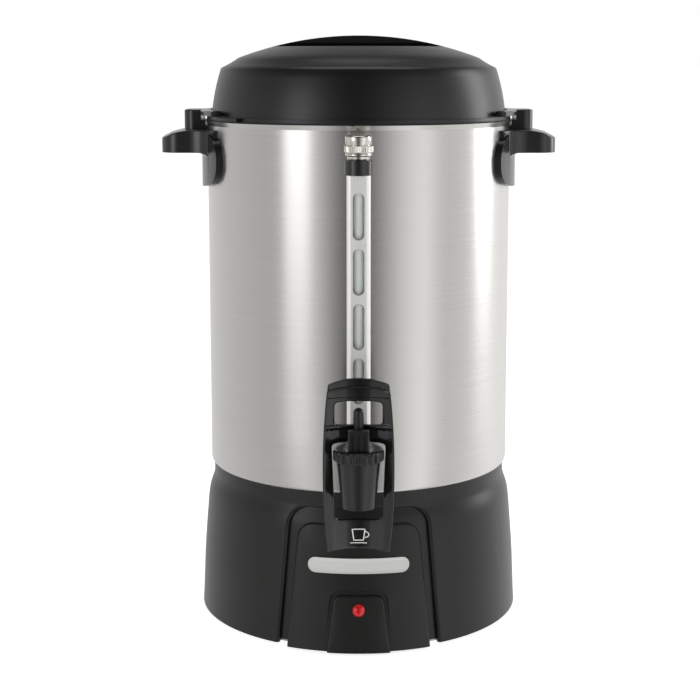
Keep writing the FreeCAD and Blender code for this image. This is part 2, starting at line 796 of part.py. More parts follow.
def faucet_body():
    """The moulded faucet: threaded shank, gauge boss, valve chamber, seat and spout."""
    barrel = turned(
        (0, barrel_bottom), (barrel_foot_radius, barrel_bottom),
        (barrel_mid_radius, (barrel_bottom + barrel_top) / 2 + 2, barrel_top_radius, barrel_top),
        (barrel_neck_radius, barrel_top), (barrel_neck_radius, barrel_top + barrel_neck_height),
        (0, barrel_top + barrel_neck_height))
    barrel.translate(point(0, valve_axis, 0))
    shank_inside = -tank_inner + 12
    shank = bar(shank_radius, point(0, valve_axis, shank_height), point(0, shank_inside, shank_height))
    flange = bar(shank_flange_radius, point(0, shank_flange_front, shank_height),
                 point(0, shank_flange_front + shank_flange_thickness, shank_height))
    boss = disc(gauge_boss_radius, shank_height, gauge_boss_top, 0, gauge_axis)
    body = barrel.fuse([shank, flange, boss])
    body = body.cut(disc(chamber_radius, seat_height, barrel_top + 20, 0, valve_axis))
    body = body.cut(disc(spout_bore, barrel_bottom - 1, seat_height + 1, 0, valve_axis))
    body = body.cut(bar(shank_bore, point(0, valve_axis, shank_height),
                        point(0, shank_inside + 1, shank_height)))
    body = body.cut(disc(seal_radius, gauge_boss_top - seal_height, gauge_boss_top + 1, 0, gauge_axis))
    body = body.cut(disc(glass_bore, shank_height, gauge_boss_top, 0, gauge_axis))
    return body.removeSplitter()


def shank_hardware():
    """The gaskets on both sides of the tank's wall and the nut that pulls them tight."""
    flange_back = shank_flange_front + shank_flange_thickness
    nut_front = -tank_inner + 3.2
    outer = bar(shank_flange_radius - 1, point(0, flange_back, shank_height),
                point(0, -tank_radius + 4, shank_height))
    outer = outer.cut(disc(tank_radius, 0, lid_top))
    inner = bar(shank_flange_radius - 1, point(0, -tank_radius, shank_height),
                point(0, nut_front, shank_height)).common(disc(tank_inner, 0, lid_top))
    core = bar(shank_radius, point(0, -140, shank_height), point(0, -90, shank_height))
    nut = hexagon(shank_nut_across, 0, shank_nut_thickness)
    nut.rotate(point(0, 0, 0), point(1, 0, 0), -90)
    nut.translate(point(0, nut_front, shank_height))
    return outer.cut(core), inner.cut(core), nut.cut(core)


def faucet_bonnet():
    """The ribbed cap screwed on the valve chamber; it guides the stem and backs the spring."""
    low = barrel_top + 0.3
    inside = barrel_top + barrel_neck_height + running_gap
    cap = turned((barrel_neck_radius + running_gap, low), (bonnet_radius - 0.4, low),
                 (bonnet_radius - 0.4, bonnet_top - 1.4),
                 (bonnet_radius - 1, bonnet_top - 0.4, bonnet_radius - 2.2, bonnet_top),
                 (stem_radius + running_gap, bonnet_top),
                 (stem_radius + running_gap, inside),
                 (barrel_neck_radius + running_gap, inside))
    ribs = []
    for k in range(bonnet_ribs):
        rib = block(bonnet_radius - 1.6, bonnet_radius, -0.8, 0.8, low + 0.3, bonnet_top - 1.6)
        ribs.append(about_axis(rib, 360 / bonnet_ribs * k))
    cap = cap.fuse(ribs)
    cap.translate(point(0, valve_axis, 0))
    return cap.removeSplitter()


def valve_stem():
    """The stem: a round rod, flatted above, with a tongue that the lever's pin goes through."""
    rod = disc(stem_radius, seat_height + 2, block_bottom + 0.5, 0, valve_axis)
    for x in (tongue_half, -tongue_half - 5):
        rod = rod.cut(block(x, x + 5, valve_axis - 5, valve_axis + 5, bonnet_top - 0.6, block_top))
    tongue = block(-tongue_half, tongue_half, valve_axis - 4, valve_axis + 4,
                   block_bottom + 0.4, pin_height + 4)
    tongue = tongue.common(bar(6.8, point(-9, valve_axis, pin_height - 2.6),
                               point(9, valve_axis, pin_height - 2.6)))
    stem = rod.fuse(tongue)
    return stem.cut(bar(pin_radius, point(-20, valve_axis, pin_height),
                        point(20, valve_axis, pin_height)))


def seat_cup():
    """The silicone cup that closes the seat, pushed on the stem's end."""
    top = seat_height + seat_cup_height
    cup = turned((0, seat_height + running_gap), (seat_cup_radius - 1.6, seat_height + running_gap),
                 (seat_cup_radius, seat_height + 2.5), (seat_cup_radius - 0.6, top - 2),
                 (spring_radius, top), (0, top))
    cup.translate(point(0, valve_axis, 0))
    return cup.cut(disc(stem_radius, seat_height + 2, top + 1, 0, valve_axis))


def valve_spring():
    """The closing spring round the stem, drawn as a sleeve of its outer form."""
    low = seat_height + seat_cup_height
    high = barrel_top + barrel_neck_height + running_gap
    return disc(spring_radius, low, high, 0, valve_axis).cut(
        disc(spring_radius - spring_wall, low, high, 0, valve_axis))


def faucet_handle():
    """The faucet's own handle: a ribbed block astride the stem, with an upright rod."""
    body = block(-block_half, block_half, block_front, block_back, block_bottom, block_top)
    body = body.makeFillet(1.2, [edge for edge in body.Edges if edge.BoundBox.ZLength > 10])
    for x in (-4.2, 0, 4.2):
        body = body.cut(block(x - 0.6, x + 0.6, block_front - 1, block_front + 0.9,
                              block_bottom - 1, block_top - 3))
    rod = disc(rod_radius, block_top - 2, rod_top - rod_radius, 0, lever_face + 1.5)
    dome = Part.makeSphere(rod_radius, point(0, lever_face + 1.5, rod_top - rod_radius))
    body = body.fuse([rod, dome])
    slot = tongue_half + 0.15
    body = body.cut(block(-slot, slot, valve_axis - 7.5, block_back + 1,
                          block_bottom - 1, block_top - 1.6))
    return body.cut(bar(pin_radius + running_gap, point(-20, valve_axis, pin_height),
                        point(20, valve_axis, pin_height))).removeSplitter()


def rounded_opening(half_top, half_foot, bottom, top, corner, arch_rise=0.0):
    """A window's outline with round corners, cut along Y."""
    near = 0.29 * corner
    outline = face_of(
        side, (-half_foot + corner, bottom), (half_foot - corner, bottom),
        (half_foot - near, bottom + near, half_foot, bottom + corner),
        (half_top, top - corner), (half_top - near, top - near, half_top - corner, top),
        (0, top + arch_rise, -half_top + corner, top) if arch_rise else (-half_top + corner, top),
        (-half_top + near, top - near, -half_top, top - corner),
        (-half_foot, bottom + corner), (-half_foot + near, bottom + near, -half_foot + corner, bottom))
    return across_y(outline, valve_axis - 60, valve_axis + 60)


def dispensing_lever():
    """The cup lever: a hollow-faced frame bent back towards the base, with two windows, a rolled
    lip along its top and a plate that a cup is pressed on."""
    centre = lever_face - lever_hollow_radius
    inner = lever_hollow_radius
    outer = lever_hollow_radius + lever_thickness
    half = lever_wide_half + 4

    def crescent(near, far, reach):
        near_y = centre + math.sqrt(near ** 2 - reach ** 2)
        far_y = centre + math.sqrt(far ** 2 - reach ** 2)
        return face_of(plan, (-reach, near_y), (0, centre + near, reach, near_y), (reach, far_y),
                       (0, centre + far, -reach, far_y))

    section = crescent(inner, outer, half)
    section.translate(point(0, 0, lever_bend_height))
    sweep = math.degrees(math.asin((lever_bend_height - lever_bottom + 17) / lever_bend_radius))
    sheet = section.revolve(point(0, lever_face + lever_bend_radius, lever_bend_height),
                            point(1, 0, 0), sweep)
    shoulder = lever_top - 3.6
    mid = (shank_height + shoulder) / 2
    low_mid = (shank_height + lever_bottom) / 2
    outline = face_of(
        side, (-lever_bottom_half, lever_bottom), (0, lever_bottom + 2, lever_bottom_half, lever_bottom),
        (lever_wide_half - 0.9, low_mid, lever_wide_half, shank_height),
        (lever_wide_half - 1.2, mid, lever_top_half, shoulder),
        (0, lever_top, -lever_top_half, shoulder),
        (-lever_wide_half + 1.2, mid, -lever_wide_half, shank_height),
        (-lever_wide_half + 0.9, low_mid, -lever_bottom_half, lever_bottom))
    frame = sheet.common(across_y(outline, valve_axis - 60, valve_axis + 60))
    lip = crescent(inner - lip_thickness, inner + 0.5, lever_top_half - 0.4)
    lip.translate(point(0, 0, lip_bottom))
    lip = lip.extrude(point(0, 0, lip_top - lip_bottom))
    lip = lip.makeFillet(1.6, [edge for edge in lip.Edges
                               if edge.BoundBox.XLength > lever_top_half
                               and edge.CenterOfMass.y < centre + inner - lip_thickness + 0.01])
    frame = frame.fuse(lip)
    frame = frame.cut(rounded_opening(upper_window_half, upper_window_half,
                                      block_top + bridge_thickness, upper_window_top,
                                      window_corner, 1.2))
    frame = frame.cut(rounded_opening(lower_window_half, lower_window_foot_half,
                                      lower_window_bottom, lower_window_top, window_corner))
    frame = frame.cut(block(-block_half, block_half, block_front - 5, block_back + 5,
                            lower_window_top - 5, block_top))
    bridge = block(-block_half, block_half, lever_face - 1, lever_face + lever_thickness,
                   block_top, block_top + bridge_thickness)
    frame = frame.fuse(bridge)
    frame = frame.cut(disc(rod_radius, block_top - 1, block_top + 10, 0, lever_face + 1.5))
    return frame.removeSplitter()


def gauge_shield():
    """The bright slotted channel over the glass."""
    near = 0.29 * channel_corner
    corner = channel_corner

    def channel(inset):
        half = channel_half - inset
        front = channel_front + inset
        return face_of(plan, (-half, channel_back), (-half, front + corner),
                       (-half + near, front + near, -half + corner, front), (half - corner, front),
                       (half - near, front + near, half, front + corner), (half, channel_back))

    outer = channel(0)
    outer.translate(point(0, 0, channel_bottom))
    body = outer.extrude(point(0, 0, channel_top - channel_bottom))
    inner = channel(channel_wall)
    inner.translate(point(0, 0, channel_bottom - 1))
    body = body.cut(inner.extrude(point(0, 0, channel_top - channel_bottom + 2)))
    for k in range(slot_count):
        top = first_slot_top - k * slot_pitch
        bottom = top - slot_height
        slot = face_of(side, (-slot_half, bottom + slot_half),
                       (0, bottom, slot_half, bottom + slot_half),
                       (slot_half, top - slot_half), (0, top, -slot_half, top - slot_half))
        body = body.cut(across_y(slot, channel_front - 2, channel_front + 3))
    return body


def gauge_bracket():
    """The black collar that holds the glass's top and is screwed to the tank."""
    collar = disc(bracket_radius, channel_top, bracket_top, 0, gauge_axis)
    collar = collar.fuse(disc(spigot_radius, bracket_top, bracket_top + spigot_height, 0, gauge_axis))
    foot = block(-7, 7, gauge_axis, -tank_radius + 4, channel_top, bracket_top).cut(
        disc(tank_radius, 0, lid_top))
    body = collar.fuse(foot)
    body = body.cut(disc(glass_radius, channel_top - 1, bracket_top + 10, 0, gauge_axis))
    height = channel_top + bracket_height / 2
    return body.cut(bar(handle_screw_radius, point(0, gauge_axis + glass_radius + 1.5, height),
                        point(0, -100, height)))


def gauge_bracket_screw():
    height = channel_top + bracket_height / 2
    screw = bar(handle_screw_radius, point(0, gauge_axis + glass_radius + 1.5, height),
                point(0, -tank_inner + 2, height))
    head = bar(4.0, point(0, -tank_inner - 0.5, height), point(0, -tank_inner + 3, height))
    head = head.common(disc(tank_inner - running_gap, 0, lid_top))
    return screw.fuse(head)


def gauge_cap():
    """The knurled nickel cap on the glass's top."""
    low = bracket_top + running_gap
    top = low + cap_height
    bore = spigot_radius + running_gap
    inside = glass_top + 1.5
    cap = turned((bore, low), (cap_neck_radius, low), (cap_neck_radius, low + 2.6),
                 (cap_top_radius, low + 3.4), (cap_top_radius, low + 4.6),
                 (cap_top_radius - 0.5, low + 5.0), (cap_knurl_radius - 0.5, low + 5.4),
                 (cap_knurl_radius - 0.5, low + 10.2),
                 (cap_top_radius - 0.4, low + 10.6), (cap_top_radius, low + 11),
                 (cap_top_radius, top - 1), (cap_top_radius - 1, top), (0, top), (0, inside),
                 (bore, inside))
    knurls = []
    for k in range(cap_knurls):
        ridge = block(cap_knurl_radius - 1, cap_knurl_radius, -0.55, 0.55, low + 5.7, low + 9.9)
        knurls.append(about_axis(ridge, 360 / cap_knurls * k))
    cap = cap.fuse(knurls)
    cap.translate(point(0, gauge_axis, 0))
    return cap.removeSplitter()


def dome_height(radius, inset=0.0):
    """Height of the lid's dome at a radius."""
    return lid_top - lid_dome_radius + math.sqrt((lid_dome_radius - inset) ** 2 - radius ** 2)


def lid_shell():
    """The lid: plug, flange, convex skirt, crease and dome with a round recess, and two lugs."""
    shoulder = flange_bottom + lid_shoulder_rise
    blend = lid_blend_radius
    w = lid_wall
    between = (lid_shoulder_radius + blend) / 2
    middle = recess_radius * 0.5 + blend * 0.5
    body = turned(
        (plug_radius - 2.4, flange_bottom - plug_depth), (plug_radius, flange_bottom - plug_depth),
        (plug_radius, flange_bottom), (lid_flange_radius, flange_bottom),
        (lid_flange_radius, flange_top), (lid_foot_radius - 0.2, flange_top),
        (lid_foot_radius - 2.6, flange_top + 17, lid_shoulder_radius, shoulder),
        (lid_shoulder_radius - 1, shoulder + 1),
        (between - 0.3, shoulder + 4.1, blend, dome_height(blend)),
        (middle, dome_height(middle), recess_radius, dome_height(recess_radius)),
        (recess_foot_radius, recess_floor), (0, recess_floor), (0, recess_floor - w),
        (recess_foot_radius + w, recess_floor - w),
        (recess_radius + w, dome_height(recess_radius + w, w)),
        (blend - 1, dome_height(blend, w)), (lid_shoulder_radius - 1 - w, shoulder - w),
        (lid_foot_radius - 2.6 - w, flange_top + 17, plug_radius - 2.4, flange_top))
    for turn in (0, 180):
        lug = sector(lid_flange_radius - 2, lug_reach, flange_bottom, flange_top, lug_half_angle)
        body = body.fuse(about_axis(lug, lug_angle + turn))
    for x in (-40, 40):
        body = body.cut(disc(2.0, recess_floor - 10, recess_floor + 1, x))
    return body.removeSplitter()


def lid_handle():
    """The grip bar across the recess, flush with the dome."""
    high = lid_top + 5
    section = face_of(lambda a, b: point(-1.2 * recess_radius, a, b), (-grip_foot, recess_floor),
                      (grip_foot, recess_floor),
                      (grip_waist, recess_floor + 0.45 * recess_depth, grip_half, lid_top - 6),
                      (grip_half, high), (-grip_half, high), (-grip_half, lid_top - 6),
                      (-grip_waist, recess_floor + 0.45 * recess_depth, -grip_foot, recess_floor))
    stick = section.extrude(point(2.4 * recess_radius, 0, 0))
    r = recess_radius - grip_gap
    form = turned((0, recess_floor), (recess_foot_radius - grip_gap, recess_floor),
                  (r, dome_height(r)), (r / 2, dome_height(r / 2), 0, dome_height(0)))
    stick = stick.common(form)
    for x in (-40, 40):
        stick = stick.cut(disc(2.0, recess_floor - 1, recess_floor + 12, x))
    return stick


def lid_handle_screws():
    low = recess_floor - lid_wall
    return group([disc(2.0, low - 2, recess_floor + 12, x).fuse(disc(4.2, low - 2.4, low, x))
                  for x in (-40, 40)])


def lid_seal():
    """The silicone ring between the tank's bead and the lid's flange."""
    return turned((plug_radius + 0.3, seal_bottom), (lid_flange_radius + 0.2, seal_bottom),
                  (lid_flange_radius + 0.2, seal_bottom + seal_thickness),
                  (plug_radius + 0.3, seal_bottom + seal_thickness))


def pump_tube():
    """The riser with its bell foot in the heater well and the collar that carries the basket."""
    low = well_bottom + well_wall + running_gap
    skirt_top = low + tube_foot_height
    return turned(
        (tube_foot_radius - 1.2, low), (tube_foot_radius, low),
        (tube_foot_radius, low + 6), (tube_radius + 2, skirt_top - 2), (tube_radius, skirt_top + 2),
        (tube_radius, basket_bottom - 3), (tube_radius + 3.5, basket_bottom - 1.2),
        (tube_radius + 3.5, basket_bottom - running_gap), (tube_radius, basket_bottom - running_gap),
        (tube_radius, tube_top - 3), (tube_radius - 0.4, tube_top), (tube_bore, tube_top),
        (tube_bore, skirt_top), (tube_foot_radius - 1.2, low + 5.6))


def perforated(shape, rings, low, high):
    """The shape with rings of round holes: each ring is a radius and a count."""
    holes = []
    for radius, count in rings:
        for k in range(count):
            x, y = on_circle(radius, 360 / count * k)
            holes.append(disc(hole_radius, low, high, x, y))
    return shape.cut(holes)


def coffee_basket():
    """The grounds basket: perforated floor, straight wall, rolled rim and a centre sleeve."""
    w = basket_wall
    r = basket_radius
    bore = tube_radius + 0.08
    body = turned(
        (bore, basket_bottom), (r - 2, basket_bottom), (r, basket_bottom + 2),
        (r, basket_top - w), (r + basket_rim, basket_top - w), (r + basket_rim, basket_top),
        (r - w, basket_top), (r - w, basket_bottom + 2 + w / 2), (r - 2 - w / 2, basket_bottom + w),
        (bore + w, basket_bottom + w), (bore + w, basket_top - 14), (bore, basket_top - 14))
    return perforated(body, ((22, 8), (38, 12), (54, 16)), basket_bottom - 1, basket_bottom + w + 1)


def basket_cover():
    """The water spreader on the basket's rim, with a hole for the riser."""
    low = basket_top + running_gap
    w = basket_wall
    r = basket_radius + basket_rim - 0.5
    top = low + cover_rise
    body = turned((tube_radius + 1.2, low + 1), (r - 12, low + 1), (r - 6, low),
                  (r, low), (r, top - 2), (r - w, top - 2), (r - w, low + w),
                  (r - 6, low + w), (r - 12, low + 1 + w), (tube_radius + 1.2 + w, low + 1 + w),
                  (tube_radius + 1.2 + w, top), (tube_radius + 1.2, top))
    return perforated(body, ((24, 8), (42, 14)), low, low + w + 2)


os.makedirs("parts", exist_ok=True)

save("base_housing", base_housing())
save("base_plate", base_plate())
save("rubber_feet", group([rubber_foot(*on_circle(foot_circle, 45 + 90 * k)) for k in range(4)]))
save("base_plate_screws", group([
    disc(screw_radius, plate_bottom, plate_top + boss_height - 2, *on_circle(screw_circle, angle)).fuse(
        disc(3.4, plate_bottom - 1.8, plate_bottom, *on_circle(screw_circle, angle)))
    for angle in screw_angles]))
save("cord_gland", cord_gland())
save("pilot_lens", pilot_lens())
save("pilot_lamp", pilot_lamp())
save("tank", tank())
save("tank_stud_nuts", group([
    hexagon(8.0, ledge_bottom - shield_thickness - stud_nut_height, ledge_bottom - shield_thickness,
            *on_circle(stud_circle, angle)).cut(
                disc(stud_radius, 0, base_height, *on_circle(stud_circle, angle)))
    for angle in stud_angles]))
save("heater_well", heater_well())
save("heater_well_gasket", disc(well_flange, floor_top, well_flange_bottom).cut(
    disc(well_radius, floor_top, well_flange_bottom)))
save("heater_well_nut", hexagon(2 * well_radius + 9, base_height - well_nut_height, base_height).cut(
    disc(well_radius, 0, 200)))
save("heater_band", heater_band())
save("keep_warm_element", keep_warm_element())
save("keep_warm_clips", keep_warm_clips())
save("thermostat", thermostat())
save("thermal_cutoff", thermal_cutoff())
save("heat_shield", heat_shield())
save("lead_wires", lead_wires())

right = handle()
save("right_handle", right)
save("left_handle", right.mirror(point(0, 0, 0), point(1, 0, 0)))
screws, washers = handle_hardware()
save("handle_screws", screws)
save("handle_screw_washers", washers)

save("faucet_body", faucet_body())
outer_gasket, inner_gasket, shank_nut = shank_hardware()
save("faucet_outer_gasket", outer_gasket)
save("faucet_inner_gasket", inner_gasket)
save("faucet_shank_nut", shank_nut)
save("faucet_bonnet", faucet_bonnet())
save("valve_stem", valve_stem())
save("seat_cup", seat_cup())
save("valve_spring", valve_spring())
save("lever_pin", bar(pin_radius, point(-block_half, valve_axis, pin_height),
                      point(block_half, valve_axis, pin_height)))
save("faucet_handle", faucet_handle())
save("dispensing_lever", dispensing_lever())

save("gauge_tube", disc(glass_radius, gauge_boss_top - seal_height, glass_top, 0, gauge_axis).cut(
    disc(glass_bore, 0, lid_top, 0, gauge_axis)))
save("gauge_bottom_seal", disc(
    seal_radius, gauge_boss_top - seal_height, gauge_boss_top, 0, gauge_axis).cut(disc(
        glass_radius, 0, lid_top, 0, gauge_axis)))
save("gauge_shield", gauge_shield())
save("gauge_bracket", gauge_bracket())
save("gauge_bracket_screw", gauge_bracket_screw())
save("gauge_cap", gauge_cap())

save("lid_shell", lid_shell())
save("lid_handle", lid_handle())
save("lid_handle_screws", lid_handle_screws())
save("lid_seal", lid_seal())
save("pump_tube", pump_tube())
save("coffee_basket", coffee_basket())
save("basket_cover", basket_cover())
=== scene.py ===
import math

import bmesh
import bpy
from mathutils import Matrix, Vector


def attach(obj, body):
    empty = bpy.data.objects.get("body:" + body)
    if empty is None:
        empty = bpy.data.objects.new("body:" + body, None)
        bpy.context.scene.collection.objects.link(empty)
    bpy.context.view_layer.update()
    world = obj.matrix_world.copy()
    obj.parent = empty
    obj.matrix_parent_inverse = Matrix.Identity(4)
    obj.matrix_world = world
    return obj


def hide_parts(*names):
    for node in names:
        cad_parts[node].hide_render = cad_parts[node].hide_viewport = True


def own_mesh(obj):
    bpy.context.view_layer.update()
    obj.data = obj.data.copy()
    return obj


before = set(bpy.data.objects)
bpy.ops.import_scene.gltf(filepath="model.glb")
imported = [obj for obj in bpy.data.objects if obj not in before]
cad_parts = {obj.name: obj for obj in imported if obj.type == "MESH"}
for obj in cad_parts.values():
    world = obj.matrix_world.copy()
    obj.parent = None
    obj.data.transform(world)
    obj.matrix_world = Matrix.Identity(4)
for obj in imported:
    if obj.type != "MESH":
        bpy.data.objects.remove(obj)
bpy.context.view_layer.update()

# Coffee urn: brushed aluminium tank on a flared black base, with a domed lid, two side
# handles, a sight gauge and a cup-pressed faucet. The scene is in metres, in the frame of the
# solids, and the sizes below are in millimetres unless they say otherwise.


# Camera
# The photograph's view: from the front, a little above the lid's rim, looking down 8 degrees.
# Its lens and shift were fitted to the outlines of the tank, the base and the lid.
CAMERA_PLACE = (0.0, -1.2186, 0.4349)  # metres
CAMERA_PITCH = math.radians(82)
camera_data = bpy.data.cameras.new("camera")
camera_data.lens = 79.44
camera_data.sensor_width = 36
camera_data.shift_x = -0.0123
camera_data.shift_y = -0.1054
camera_data.dof.use_dof = False
camera = bpy.data.objects.new("camera", camera_data)
camera.location = CAMERA_PLACE
camera.rotation_euler = (CAMERA_PITCH, 0, 0)
bpy.context.scene.collection.objects.link(camera)
bpy.context.scene.camera = camera


# Studio
# A soft surround that is dark behind the camera and bright at both sides, so that the tank
# shows upright bands. The camera itself sees plain white.
def add_node(tree, kind, values=None, **settings):
    """Adds a node. Settings are its properties, and values maps a socket to a value or a link."""
    node = tree.nodes.new(kind)
    for name, value in settings.items():
        setattr(node, name, value)
    for name, value in (values or {}).items():
        if isinstance(value, bpy.types.NodeSocket):
            tree.links.new(value, node.inputs[name])
        else:
            node.inputs[name].default_value = value
    return node


def set_ramp(node, stops):
    """Gives a colour ramp its stops: each is a place and a colour."""
    elements = node.color_ramp.elements
    while len(elements) > 1:
        elements.remove(elements[-1])
    elements[0].position, elements[0].color = stops[0]
    for place, shade in stops[1:]:
        elements.new(place).color = shade


def grey(level):
    """A linear level of light."""
    return (level, level, level, 1.0)


bpy.context.scene.view_settings.view_transform = "Standard"
world = bpy.data.worlds.new("studio")
bpy.context.scene.world = world
world.use_nodes = True
sky = world.node_tree
sky.nodes.clear()
way = add_node(sky, "ShaderNodeTexCoord")
split = add_node(sky, "ShaderNodeSeparateXYZ", {"Vector": way.outputs["Generated"]})
azimuth = add_node(sky, "ShaderNodeMath", {0: split.outputs["X"], 1: split.outputs["Y"]},
                   operation="ARCTAN2")
share = add_node(sky, "ShaderNodeMath", {0: azimuth.outputs[0], 1: -1 / math.tau, 2: 0.5},
                 operation="MULTIPLY_ADD")
round_about = add_node(sky, "ShaderNodeValToRGB", {"Fac": share.outputs[0]})
# Brightness round the urn. 0 and 1 are in front of it, +X is 0.25 and -X is 0.75.
SURROUND = [(0.0, 0.08), (0.03, 0.22), (0.09, 0.72), (0.14, 1.0), (0.185, 0.62), (0.24, 0.66),
            (0.35, 0.92), (0.50, 0.70), (0.66, 0.60), (0.75, 0.52), (0.83, 0.46), (0.87, 0.70),
            (0.915, 0.58), (0.955, 0.25), (0.98, 0.11), (1.0, 0.08)]
set_ramp(round_about, [(place, grey(level)) for place, level in SURROUND])
# The light falls off overhead, so the black lid and the shoulders stay black.
overhead = add_node(sky, "ShaderNodeMapRange",
                    {"Value": split.outputs["Z"], "From Min": 0.2, "From Max": 0.75,
                     "To Min": 1.2, "To Max": 0.16})
seen = add_node(sky, "ShaderNodeLightPath")
lit = add_node(sky, "ShaderNodeBackground",
               {"Color": round_about.outputs["Color"], "Strength": overhead.outputs[0]})
plain = add_node(sky, "ShaderNodeBackground", {"Color": grey(1.0), "Strength": 1.0})
choice = add_node(sky, "ShaderNodeMixShader", {0: seen.outputs["Is Camera Ray"]})
sky.links.new(lit.outputs[0], choice.inputs[1])
sky.links.new(plain.outputs[0], choice.inputs[2])
add_node(sky, "ShaderNodeOutputWorld", {"Surface": choice.outputs[0]})


# Softboxes
# Three rectangular lights of white cloth, one overhead and one at each side. They give the
# lid its broad sheen and the tank its two bright bands.
URN_MIDDLE = Vector((0, 0, 0.22))  # metres


def softbox(name, place, size, power):
    """A rectangular area light that faces the middle of the urn. Metres and watts."""
    data = bpy.data.lights.new(name, "AREA")
    data.shape = "RECTANGLE"
    data.size, data.size_y = size
    data.energy = power
    light = bpy.data.objects.new(name, data)
    light.location = place
    light.rotation_euler = (URN_MIDDLE - Vector(place)).to_track_quat("-Z", "Y").to_euler()
    bpy.context.scene.collection.objects.link(light)


softbox("top_softbox", (0.0, 0.1, 1.9), (1.4, 1.0), 7)
softbox("left_softbox", (-1.15, -1.15, 0.6), (0.6, 0.9), 3)
softbox("right_softbox", (1.6, 0.45, 0.75), (0.6, 1.2), 8)


# Floor
# White seamless paper with no sheen. It glows a little, so that it meets the white surround
# without a line, and the tank doesn't mirror it.
def colour(code):
    """An sRGB hex colour turned to linear values with alpha."""
    parts = [int(code[k:k + 2], 16) / 255 for k in (1, 3, 5)]
    return [p / 12.92 if p <= 0.04045 else ((p + 0.055) / 1.055) ** 2.4 for p in parts] + [1.0]


def material(name, base, values):
    """A material with its colour and plain values set on the shader's own sockets."""
    made = bpy.data.materials.new(name)
    made.use_nodes = True
    shader = made.node_tree.nodes["Principled BSDF"]
    shader.inputs["Base Color"].default_value = colour(base)
    for socket, value in values.items():
        shader.inputs[socket].default_value = value
    return made


FLOOR_HALF = 60  # metres, far enough that its edge lies in the white
floor_mesh = bmesh.new()
bmesh.ops.create_grid(floor_mesh, x_segments=1, y_segments=1, size=FLOOR_HALF)
floor_data = bpy.data.meshes.new("floor")
floor_mesh.to_mesh(floor_data)
floor_mesh.free()
floor_data.materials.append(material("white_paper", "#F6F6F6", {
    "Roughness": 0.8, "Emission Color": colour("#FFFFFF"), "Emission Strength": 0.8}))
floor = bpy.data.objects.new("floor", floor_data)
bpy.context.scene.collection.objects.link(floor)
floor.visible_glossy = False


# Base
# A skirt moulded in black phenolic, with a stepped arch at the front. A bottom cover of plated
# steel is screwed under it, on four rubber feet.
NOISE_LOW, NOISE_HIGH = 0.3, 0.7
MM = 0.001
MERGE_DISTANCE = 1e-6  # metres


def grain(made, sizes, depth, rough, tint=None):
    """Noise that shifts a surface's gloss and colour, and dents it by depth. Sizes are the
    grain's along X, Y and Z, coarser than the real ones where those are too fine to show. Rough
    is a pair of roughnesses and tint a pair of colours."""
    tree = made.node_tree
    shader = tree.nodes["Principled BSDF"]
    place = add_node(tree, "ShaderNodeTexCoord")
    spread = add_node(tree, "ShaderNodeMapping", {"Vector": place.outputs["Object"],
                                                  "Scale": [1 / (MM * size) for size in sizes]})
    noise = add_node(tree, "ShaderNodeTexNoise",
                     {"Vector": spread.outputs[0], "Scale": 1.0, "Detail": 3.0, "Roughness": 0.6})
    if depth:
        bump = add_node(tree, "ShaderNodeBump", {"Height": noise.outputs["Fac"], "Strength": 1.0,
                                                 "Distance": MM * depth})
        tree.links.new(bump.outputs[0], shader.inputs["Normal"])
    level = add_node(tree, "ShaderNodeMapRange",
                     {"Value": noise.outputs["Fac"], "From Min": NOISE_LOW,
                      "From Max": NOISE_HIGH, "To Min": rough[0], "To Max": rough[1]})
    tree.links.new(level.outputs[0], shader.inputs["Roughness"])
    if tint:
        shade = add_node(tree, "ShaderNodeValToRGB", {"Fac": noise.outputs["Fac"]})
        set_ramp(shade, [(NOISE_LOW, colour(tint[0])), (NOISE_HIGH, colour(tint[1]))])
        tree.links.new(shade.outputs[0], shader.inputs["Base Color"])


def moulded(name, dark, light, roughness, size, depth, specular=0.5):
    """A moulded or fired surface, mottled a little in colour and gloss. Its grain has one size,
    and its roughness runs from 0.05 below the one given to 0.07 above."""
    made = material(name, dark, {"Specular IOR Level": specular})
    grain(made, (size, size, size), depth, (roughness - 0.05, roughness + 0.07), (dark, light))
    return made


def metal(name, dark, light, rough, sizes, depth, anisotropy=0.0):
    """A metal whose grain is drawn out along the axes that have a large size."""
    made = material(name, dark, {"Metallic": 1.0, "Anisotropic": anisotropy})
    grain(made, sizes, depth, rough, (dark, light))
    return made


CREASE = math.radians(28)


def dress(made, *names):
    """Gives CAD pieces a finish. A weld joins their triangles and a split keeps edges crisp."""
    for name in names:
        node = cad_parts[name]
        node.data.materials.clear()
        node.data.materials.append(made)
        for face in node.data.polygons:
            face.use_smooth = True
        weld = node.modifiers.new("weld", "WELD")
        weld.merge_threshold = MERGE_DISTANCE
        crease = node.modifiers.new("crease", "EDGE_SPLIT")
        crease.split_angle = CREASE


# Phenolic from a spark-eroded mould: a satin skin with broad, soft highlights.
phenolic = moulded("satin_black_phenolic", "#191918", "#21211F", 0.34, 0.3846, 0.01, 0.38)
dress(phenolic, "base_housing", "cord_gland")
# Zinc-plated steel: grey, dull and faintly spangled.
zinc = metal("zinc_plated_steel", "#9FA1A3", "#B4B6B8", (0.28, 0.45), (1.667, 1.667, 1.667), 0.006)
dress(zinc, "base_plate", "base_plate_screws", "tank_stud_nuts")
# Moulded rubber: grey-black, without shine.
rubber = moulded("moulded_rubber", "#161616", "#1F1E1D", 0.75, 0.3333, 0.02)
dress(rubber, "rubber_feet")


# Pilot lamp
# A red jewel moulded in clear acrylic and pressed into the front panel, over a small neon
# lamp. The acrylic is glossy and glows a little from inside.
jewel = material("red_acrylic_jewel", "#C01218", {
    "Transmission Weight": 0.35, "Coat Weight": 0.6,
    "Emission Color": colour("#C01218"), "Emission Strength": 0.25})
grain(jewel, (1.111, 1.111, 1.111), 0.01, (0.06, 0.12))
dress(jewel, "pilot_lens")
